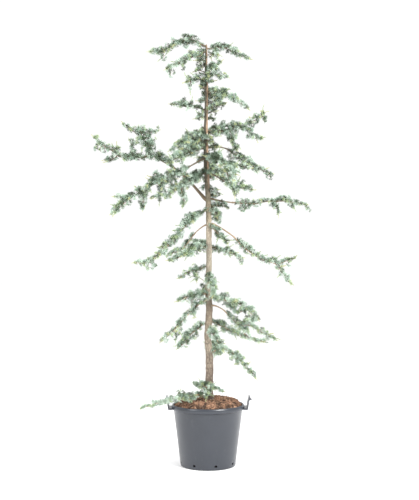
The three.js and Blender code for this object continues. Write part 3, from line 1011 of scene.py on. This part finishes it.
def limb_line(node):
    """A bare limb's line and radius, from its trunk end to its far end."""
    edges = edges_of(node)
    corners = np.vstack(edges)
    hub = np.array([trunk_at(z)[0] for z in corners[:, 2]])
    away = np.linalg.norm((corners - hub)[:, :2], axis=1)
    near_end = corners[away < away.min() + 0.006].mean(0)
    far_end = corners[np.argmax(np.linalg.norm(corners - near_end, axis=1))]
    chord = far_end - near_end
    places = [near_end + chord * share for share in np.linspace(0.03, 0.97, LIMB_CUTS)]
    cuts = [section(edges, place, unit(chord)) for place in places]
    cuts = [cut for cut in cuts if cut is not None]
    return np.array([cut[0] for cut in cuts]), np.array([[cut[1]] for cut in cuts])


masses = sorted(name for name in frame["nodes"] if name.startswith("foliage_"))
limbs = {name: limb_line(name) for name in sorted(frame["nodes"]) if name.startswith("bough_")}
branches = []
for mass in masses:
    limb = limbs.get(mass.replace("foliage", "bough"))
    if limb is None:
        corners = corners_of(mass)
        gaps = np.array([np.linalg.norm((c - trunk_at(c[2])[0])[:2]) for c in corners])
        root = trunk_at(corners[gaps < gaps.min() + 0.012][:, 2].mean())[0]
    else:
        root = limb[0][-1]
    branches += branches_of(mass, root)
all_points = sum(len(branch["points"]) for branch in branches)
print(len(branches), "branches,", round(all_points * LINE_STEP, 1), "metres")

# %% [markdown]
# Every limb and branch is a tapering round rod. A bevelled curve makes one: its points carry a
# radius, and the curve is made a mesh once it is right. It could be drawn up like the trunk, but a
# branch turns too far for level rings. A branch starts inside the trunk or its limb, so that no gap
# shows where they meet, and swells into a collar there.

# %% Limbs and branches: rods
ROD_ROUNDNESS = 2
BRANCH_TIP = 0.0009
BRANCH_FOOT = 0.0021
BRANCH_GROWTH = 0.0074
ARM_THINNER = 0.85
BRANCH_COLLAR = 0.012
LIMB_COLLAR = 0.022


def rods(name, lines):
    """Round rods along lines, each a list of points with a radius at each point."""
    let_go()
    bpy.ops.curve.primitive_nurbs_path_add()
    piece = bpy.context.object
    piece.name = name
    curve = piece.data
    curve.splines.clear()
    curve.dimensions = "3D"
    curve.bevel_depth = 1.0
    curve.bevel_resolution = ROD_ROUNDNESS
    curve.use_fill_caps = True
    for points, radii in lines:
        spline = curve.splines.new("POLY")
        spline.points.add(len(points) - 1)
        spline.points.foreach_set("co", np.column_stack([points, np.ones(len(points))]).ravel())
        spline.points.foreach_set("radius", np.array(radii, float))
    pick(piece)
    bpy.ops.object.convert(target="MESH")
    piece = bpy.context.object
    piece.data.name = name
    open_up(piece)
    bpy.ops.mesh.remove_doubles(threshold=0.00004)
    bpy.ops.mesh.normals_make_consistent(inside=False)
    settle(piece)
    return piece


def branch_radii(points, foot):
    """How thick a branch is along its line."""
    share = np.linspace(0, 1, len(points))
    collar = np.exp(-share * len(points) * LINE_STEP / BRANCH_COLLAR)
    return BRANCH_TIP + (foot - BRANCH_TIP) * (1 - share) ** 0.8 + collar * foot * 0.5


lines = []
for name, (points, radii) in limbs.items():
    hub = trunk_at(points[0][2])[0]
    hub[2] -= 0.004
    points = np.vstack([hub, (hub + points[0]) / 2, points])
    line, kept = resampled(points, np.vstack([radii[:1], radii[:1], radii]), LINE_STEP)
    collar = np.exp(-np.arange(len(line)) * LINE_STEP / LIMB_COLLAR)
    lines.append((line, kept[:, 0] * (1 + collar * 0.5)))
for branch in branches:
    branch["length"] = len(branch["points"]) * LINE_STEP
    foot = BRANCH_FOOT + BRANCH_GROWTH * branch["length"]
    limb = limbs.get(branch["mass"].replace("foliage", "bough"))
    if branch["main"] and limb is not None:
        foot = limb[1][-1][0]
    elif not branch["main"]:
        foot *= ARM_THINNER
    lines.append((branch["points"], branch_radii(branch["points"], foot)))
boughs = rods("boughs_bark", lines)
for size, depth in ((0.020, 0.0016), (0.006, 0.0009)):
    ruffle(boughs, "CLOUDS", size, depth)
soften(boughs, 80)

# %% Limbs and branches: finish
wood = Finish("bark_boughs", 0.75)
spot = wood.place()
patches = wood.cloud(spot, 0.05, 4.0)
flecks = wood.cloud(spot, 0.004, 3.0)
upper = wood.mask(wood.height() * BARK_SPAN + patches * 0.06, [(0.585, 0), (0.63, 1)])
lower_bark = wood.blend(patches, paint(138, 116, 92), paint(176, 152, 124))
upper_bark = wood.blend(patches, paint(78, 74, 58), paint(116, 98, 78))
speckled = wood.mask(flecks, [(0.45, 0), (0.62, 1)])
mixed = wood.blend(upper, lower_bark, upper_bark)
wood.set("Base Color", wood.blend(speckled * 0.35, mixed, paint(88, 70, 58)))
wood.set("Roughness", 0.68 + patches * 0.2)
wood.relief(flecks, 0.0008, 0.7)
hand_in(boughs, "bark", wood, *sorted(limbs))

# %% [markdown]
# A cedar carries its needles in rosettes on short spurs, set close along the upper side of each
# shoot, and its side shoots leave the branch left and right in turn, flat like a hand. The youngest
# shoots at the ends have single needles and are paler and yellower. The rule below follows that. It
# could scatter needles through the masses, but then no spray would have an order or a stem.

# %% Growing: lists and shades
SHADES = ("blue", "silver", "grey", "deep", "fresh", "yellow")
DULLER = dict(zip(SHADES, ("grey", "blue", "deep", "deep", "grey", "fresh")))
BRIGHTER = dict(zip(SHADES, ("silver", "silver", "blue", "grey", "silver", "fresh")))
SAME_DULLER_BRIGHTER = (0.46, 0.24, 0.30)
ROSETTE_STEP = 0.0116
chance = np.random.default_rng(53)
rosettes = {shade: [] for shade in SHADES}
singles = {shade: [] for shade in SHADES}
twigs = []


def shade_for(spot, youth, lift=0.0):
    """The shade of one spray: fresher low on the tree and at the ends, more silver on the upper side as
    painted light, deeper near the trunk high up as older needles and painted shade.
    """
    low_down = held((1.55 - spot[2]) / 0.8)
    # Near the trunk high in the crown, sprays are made deeper: partly older needles, partly painted
    # shade. A spray pointing up (lift) is made more silver and less deep, as painted light on its upper
    # side.
    inner = math.exp(-np.linalg.norm(spot - trunk_at(spot[2])[0]) / 0.07) * (1 - low_down)
    weights = np.array([
        0.30,
        0.18 + 0.14 * youth + 0.10 * lift + 0.16 * low_down,
        0.20 - 0.06 * low_down,
        0.29 * (1 - 0.7 * youth) - 0.12 * lift - 0.20 * low_down + 0.6 * inner,
        0.05 + 0.13 * youth + 0.10 * low_down,
        0.006 + 0.03 * youth,
    ])
    weights = np.maximum(weights, 0.005)
    return SHADES[chance.choice(len(SHADES), p=weights / weights.sum())]


def rosette(shade, place, axis, size):
    """Notes one rosette: where its foot is, which way it faces and how big it is."""
    rosettes[shade].append((*place, *unit(axis), size))


def swung(first, second, turn):
    """A direction turned from the first of two square ones towards the second."""
    return first * math.cos(turn) + second * math.sin(turn)


def clothe(points, spread, shade, first, last):
    """Sets rosettes along a shoot, mostly on its upper side, from one share of it to another."""
    ahead, side, up = frame_along(points)
    along = distances(points)
    place = along[-1] * first + chance.uniform(0, ROSETTE_STEP)
    while place < along[-1] * last:
        here = between(place, along, points)
        number = min(int(np.searchsorted(along, place)), len(points) - 1)
        out = swung(up[number], side[number], chance.normal(0, 1.0) * spread)
        spur = chance.uniform(0.002, 0.006)
        heading = out + ahead[number] * chance.uniform(0.1, 0.5)
        choices = (shade, DULLER[shade], BRIGHTER[shade])
        mixed = choices[chance.choice(3, p=SAME_DULLER_BRIGHTER)]
        rosette(mixed, here + out * spur, heading, chance.uniform(0.72, 1.14))
        place += ROSETTE_STEP * chance.uniform(0.7, 1.35)


print("shades of needles:", *SHADES)

# %% Growing: leading shoots and side shoots
REACH_PAST = 0.012
REACH_LOW = np.array(low) - REACH_PAST
REACH_HIGH = np.array(high) + REACH_PAST
SINGLES_EACH = 6
SHORTEST_SHOOT = 0.009
FORKS_FROM = 0.030
FORK_STEP = 0.012
FORK_ANGLE = (38, 65)
SIDE_LEADER = (0.018, 0.040)


def bent_line(start, heading, bend, length, count):
    """A line of that many steps that sets off one way and bends a little at each step."""
    points = [np.array(start)]
    for _ in range(count):
        heading = unit(heading + bend)
        points.append(points[-1] + heading * length / count)
    return np.array(points)


def leader(start, heading, length, shade):
    """A slender young shoot with single needles. It stops where it would leave the tree's box."""
    bend = chance.normal(0, 0.035, 3)
    points = bent_line(start, heading, bend, length, max(5, int(length / 0.005)))
    beyond = ((points < REACH_LOW) | (points > REACH_HIGH)).any(1)
    points = points[:max(3, int(beyond.argmax()))] if beyond.any() else points
    twigs.append((points, np.linspace(0.0010, 0.0004, len(points))))
    ahead, side, up = frame_along(points)
    for number in range(len(points)):
        share = number / len(points)
        for _ in range(SINGLES_EACH):
            out = swung(side[number], up[number], chance.uniform(0, 2 * math.pi))
            foot = points[number] - ahead[number] * chance.uniform(0, 0.005)
            way = unit(ahead[number] + out * (1.0 - 0.5 * share))
            size = chance.uniform(0.45, 0.62) * (1 - 0.4 * share)
            singles[shade].append((*foot, *way, size))


def side_shoot(start, heading, length, radius, youth, droop, lift=0.0):
    """A side shoot with its own rosettes, and smaller shoots of its own where it is long."""
    count = max(4, int(length / 0.008) + 1)
    bend = np.array([0, 0, -droop]) + chance.normal(0, 0.06, 3)
    points = bent_line(start, unit(heading), bend, length, count - 1)
    twigs.append((points, np.linspace(radius, 0.0006, count)))
    shade = shade_for(start, youth, lift)
    ahead, side, up = frame_along(points)
    # Painted shade: the rosettes along the shoot take a duller shade than its end rosette, so the
    # inside of the spray is darker.
    clothe(points, 1.2, DULLER[shade], min(0.5, 0.010 / length), 0.92)
    rosette(shade, points[-1] + ahead[-1] * 0.001, ahead[-1], chance.uniform(0.88, 1.15))
    if youth > 0.4 and chance.uniform() < 0.12:
        kind = "fresh" if chance.uniform() < 0.75 else "yellow"
        leader(points[-1], ahead[-1], chance.uniform(*SIDE_LEADER), kind)
    if length > FORKS_FROM:
        hand = chance.choice((-1, 1))
        place = 0.30
        while place < 0.88:
            number = int(place * (count - 1))
            angle = math.radians(chance.uniform(*FORK_ANGLE))
            way = ahead[number] * math.cos(angle) + side[number] * hand * math.sin(angle)
            way += up[number] * chance.normal(0.1, 0.3)
            left = max(length * (1 - place) * chance.uniform(0.6, 0.95), SHORTEST_SHOOT)
            side_shoot(points[number], way, left, radius * 0.7, youth, droop)
            hand = -hand
            place += FORK_STEP / length * chance.uniform(0.8, 1.3)


print("shoots stay", REACH_PAST, "metres round the frame")

# %% Growing: branches
SIDE_STEP = 0.0066
SIDE_ANGLE = (45, 72)
SIDEWAYS = 0.46
UPWARDS = 0.86
NEEDLE_REACH = 0.006
STRETCH = 0.045
VIGOUR = (0.76, 1.36)
HANG_CHANCE = 0.045
HANG_ABOVE = 0.62
HANG_LENGTH = (0.024, 0.055)
LEADER_LENGTH = (0.026, 0.043)
MAIN_BARE = 0.022
ARM_BARE = 0.010


def reach_at(size, turn):
    """How far a mass reaches from its branch, at a turn round it. Turn 0 is the side."""
    wide, tall = size
    reach = 1 / math.hypot(math.cos(turn) / wide, math.sin(turn) / tall)
    return reach + LOWERED * tall * math.sin(turn)


def dress(branch, bare):
    """Grows the side shoots, rosettes and leading shoot of one branch. Its foot stays bare."""
    points, sizes = branch["points"], branch["sizes"]
    ahead, side, up = frame_along(points)
    total = len(points) - 1
    place = min(0.5, bare / branch["length"]) * total * LINE_STEP
    hand = chance.choice((-1, 1))
    until = place
    while place < (total - 1) * LINE_STEP:
        number = int(place / LINE_STEP)
        here = points[number]
        share = number / total
        youth = 0.2 + 0.8 * share
        if place >= until:
            vigour = chance.uniform(*VIGOUR)
            until = place + STRETCH * chance.uniform(0.5, 1.3)
            end = min(number + int((until - place) / LINE_STEP) + 1, total)
            if end - number > 1:
                # Painted shade: rosettes on the branch's own stem take a duller shade, so the middle of
                # the spray is darker.
                clothe(points[number:end + 1], 1.1, DULLER[shade_for(here, share)], 0, 1.0)
        kind = chance.uniform()
        if kind < SIDEWAYS:
            turn = chance.normal(0.05, 0.34)
            turn = turn if hand > 0 else math.pi - turn
            hand = -hand
        else:
            turn = chance.normal(math.pi / 2 if kind < UPWARDS else -math.pi / 2, 0.5)
        angle = math.radians(chance.uniform(*SIDE_ANGLE))
        reach = (reach_at(sizes[number], turn) * vigour - NEEDLE_REACH) / math.sin(angle)
        reach *= chance.uniform(0.75, 1.15)
        out = swung(side[number], up[number], turn)
        way = swung(ahead[number], out, angle)
        # How far the shoot points up; it sets the painted light in its shade.
        lift = math.sin(turn)
        if reach > NEEDLE_REACH:
            side_shoot(here, way, reach, 0.0012 + reach * 0.008, youth, 0.04, lift)
        elif reach > 0:
            rosette(shade_for(here, youth, lift), here + out * 0.004, way, 1.0)
        if chance.uniform() < HANG_CHANCE and here[2] > HANG_ABOVE:
            hang = ahead[number] * chance.uniform(0.1, 0.7) - UP
            hang += side[number] * hand * chance.uniform(-0.5, 0.5)
            side_shoot(here, hang, chance.uniform(*HANG_LENGTH), 0.0013, 0.7, 0.02)
        place += SIDE_STEP * chance.uniform(0.7, 1.35)
    rosette("fresh", points[-1] - ahead[-1] * 0.006, ahead[-1], 0.8)
    leader(points[-1] - ahead[-1] * 0.018, ahead[-1], chance.uniform(*LEADER_LENGTH), "yellow")


for branch in branches:
    dress(branch, MAIN_BARE if branch["main"] else ARM_BARE)
print(len(twigs), "twigs on", len(branches), "branches")

# %% Growing: short sprays on the trunk itself
SPRAY_COUNT = 44
SPRAY_LOW = 1.42
SPRAY_SPAN = 2.30 - SPRAY_LOW
SPRAY_CLEAR = 1.68
SPRAY_TURN = 2.39996
SPRAY_LENGTH = (0.045, 0.105)
SPRAY_BARE = 0.014
STEM_SHOWS = ((1.42, 1.50), (1.68, 1.77), (1.88, 2.06))
LEFT_SIDE = -0.25
FRONT_SIDE = -0.3

for number in range(SPRAY_COUNT):
    height = SPRAY_LOW + SPRAY_SPAN * (number + chance.uniform(0, 0.9)) / SPRAY_COUNT
    turn = number * SPRAY_TURN + chance.uniform(-0.4, 0.4)
    out = np.array([math.cos(turn), math.sin(turn), 0])
    shows = any(bottom < height < top for bottom, top in STEM_SHOWS)
    if height < SPRAY_CLEAR and out[0] < LEFT_SIDE or shows and out[1] < FRONT_SIDE:
        continue
    heading = out + UP * chance.uniform(-0.1, 0.7)
    length = chance.uniform(*SPRAY_LENGTH) * (1.1 - 0.4 * (height - SPRAY_LOW) / SPRAY_SPAN)
    points = [trunk_at(height)[0]]
    for _ in range(max(5, int(length / LINE_STEP))):
        heading = unit(heading + np.array([0, 0, -0.05]) + chance.normal(0, 0.04, 3))
        points.append(points[-1] + heading * LINE_STEP)
    share = np.linspace(0, 1, len(points))
    twigs.append((np.array(points), 0.0021 - 0.0012 * share))
    sizes = np.column_stack([0.030 - 0.012 * share, 0.021 - 0.008 * share])
    dress({"points": twigs[-1][0], "sizes": sizes, "length": length}, SPRAY_BARE)
print(sum(len(rows) for rows in rosettes.values()), "rosettes")
print(len(twigs), "twigs")

# %% [markdown]
# A needle is a slim closed spindle of four faces: a point at each end, and two corners a little way
# along that give it its width and keel. Several hundred thousand of them have to be light, so they
# are built straight from arrays, in fans round each spur. Each shade is one plain colour dealt out
# by spray, so colour changes from spray to spray as on the tree. Within a spray the fans along a
# shoot or branch take a duller shade than the end one, as painted shade, and single fans step a
# shade up or down at random.

# %% Needles: shape
NEEDLE_COUNT = 25
NEEDLE_LENGTH = 0.0165
NEEDLE_WIDTH = 0.00164
NEEDLE_KEEL = 0.45
NEEDLE_FACES = np.array([[0, 3, 1], [0, 1, 2], [0, 2, 3], [1, 3, 2]])
WIDEST = 0.42
SPUR_RADIUS = 0.0008
FAN_OPENS = (12, 72)
GOLDEN = math.pi * (3 - math.sqrt(5))


def around(axes):
    """Two directions square to each axis."""
    guide = np.where(np.abs(axes[:, 2:]) < 0.9, UP[None], np.array([[1.0, 0, 0]]))
    first = unit(np.cross(axes, guide))
    return first, np.cross(axes, first)


def fan(rows):
    """The foot, direction and length of each needle of many rosettes."""
    rows = np.array(rows)
    number = np.tile(np.arange(NEEDLE_COUNT), len(rows))
    start = chance.uniform(0, 6.28, len(rows))
    rows = np.repeat(np.column_stack([rows, start]), NEEDLE_COUNT, axis=0)
    axes = rows[:, 3:6]
    turn = number * GOLDEN + rows[:, 7]
    turn += chance.normal(0, 0.2, len(rows))
    least, more = FAN_OPENS
    opened = least + more * np.sqrt((number + 0.5) / NEEDLE_COUNT)
    opened = np.radians(opened + chance.normal(0, 6, len(rows)))[:, None]
    first, second = around(axes)
    out = first * np.cos(turn)[:, None] + second * np.sin(turn)[:, None]
    heading = axes * np.cos(opened) + out * np.sin(opened)
    lengths = NEEDLE_LENGTH * rows[:, 6] * chance.uniform(0.72, 1.08, len(rows))
    return rows[:, :3] + out * SPUR_RADIUS, heading, lengths


def needle_piece(name, feet, heading, lengths):
    """Needles as one joined piece."""
    first, second = around(heading)
    twist = chance.uniform(0, 2 * math.pi, len(feet))[:, None]
    across = (first * np.cos(twist) + second * np.sin(twist)) * NEEDLE_WIDTH / 2
    keel = second * np.cos(twist) - first * np.sin(twist)
    reach = heading * lengths[:, None]
    middle = feet + reach * WIDEST + keel * NEEDLE_WIDTH * NEEDLE_KEEL
    points = np.stack([feet, feet + reach, middle + across, middle - across], axis=1)
    faces = NEEDLE_FACES[None] + np.arange(len(feet))[:, None, None] * 4
    return from_arrays(name, points, faces.reshape(-1, 3))


print("a rosette has", NEEDLE_COUNT, "needles of about", NEEDLE_LENGTH, "metres")

# %% Needles: colours and pieces
MOST_FACES = 190000
SINGLE_SIZE = 1.25
NEEDLE_PAINT = {
    "blue": paint(146, 167, 150),
    "silver": paint(189, 205, 190),
    "grey": paint(110, 129, 106),
    "deep": paint(62, 76, 56),
    "fresh": paint(162, 180, 138),
    "yellow": paint(186, 190, 142),
}

total = 0
for shade in SHADES:
    finish = Finish("needles_" + shade, 0.5)
    finish.set("Base Color", NEEDLE_PAINT[shade])
    feet, heading, lengths = fan(rosettes[shade])
    if singles[shade]:
        rows = np.array(singles[shade])
        feet = np.vstack([feet, rows[:, :3]])
        heading = np.vstack([heading, rows[:, 3:6]])
        lengths = np.concatenate([lengths, NEEDLE_LENGTH * rows[:, 6] * SINGLE_SIZE])
    total += len(feet) * len(NEEDLE_FACES)
    parts = math.ceil(len(feet) * len(NEEDLE_FACES) / MOST_FACES)
    for number, rows in enumerate(np.array_split(np.arange(len(feet)), parts), start=1):
        name = "needles_{}_{}".format(shade, number)
        piece = needle_piece(name, feet[rows], heading[rows], lengths[rows])
        hand_in(piece, "needles", finish, *masses)
print(total, "needle faces")

# %% [markdown]
# The twigs are thin four-sided rods, too many to model one by one, so they are swept from arrays in
# the same way: a small square is set at each point of a twig's line and joined to the next.

# %% Twigs
TWIG_SIDES = 4
TWIG_TURNS = np.arange(TWIG_SIDES) * 2 * math.pi / TWIG_SIDES


def swept(name, lines):
    """Thin rods along many lines, as one joined piece."""
    points, faces, first = [], [], 0
    cosines = np.cos(TWIG_TURNS)[None, :, None]
    sines = np.sin(TWIG_TURNS)[None, :, None]
    for line, radii in lines:
        _, side, up = frame_along(line)
        ring = cosines * side[:, None] + sines * up[:, None]
        points.append((line[:, None] + ring * np.array(radii)[:, None, None]).reshape(-1, 3))
        last = first + (len(line) - 1) * TWIG_SIDES
        for here in range(first, last, TWIG_SIDES):
            for corner in range(TWIG_SIDES):
                after = (corner + 1) % TWIG_SIDES
                near, far = (here + corner, here + after), here + TWIG_SIDES
                faces.append((*near, far + after, far + corner))
        faces.append(tuple(first + corner for corner in reversed(range(TWIG_SIDES))))
        faces.append(tuple(last + corner for corner in range(TWIG_SIDES)))
        first = last + TWIG_SIDES
    return from_arrays(name, np.vstack(points), np.array(faces))


twig_bark = Finish("bark_twigs", 0.7)
spot = twig_bark.place()
patches = twig_bark.cloud(spot, 0.03, 3.0)
flecks = twig_bark.cloud(spot, 0.003, 2.0)
mixed = twig_bark.blend(patches, paint(112, 94, 76), paint(150, 128, 104))
twig_bark.set("Base Color", twig_bark.blend(flecks * 0.3, mixed, paint(80, 68, 54)))
twig_bark.set("Roughness", 0.65 + flecks * 0.2)
parts = math.ceil(sum((len(line) - 1) * 8 + 4 for line, _ in twigs) / MOST_FACES)
for number in range(parts):
    piece = swept("twigs_{}".format(number + 1), twigs[number::parts])
    hand_in(piece, "bark", twig_bark, *masses)

# %% [markdown]
# The visual tree must be the size of the frame, so the script ends by printing how far each corner
# of its box lies off the frame's box.

# %% Sizes and the end
box_at_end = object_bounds()
for corner, before, after in zip(("low", "high"), box_at_start, box_at_end):
    print(corner, [round(b - a, 4) for a, b in zip(before, after)], "metres off the frame")
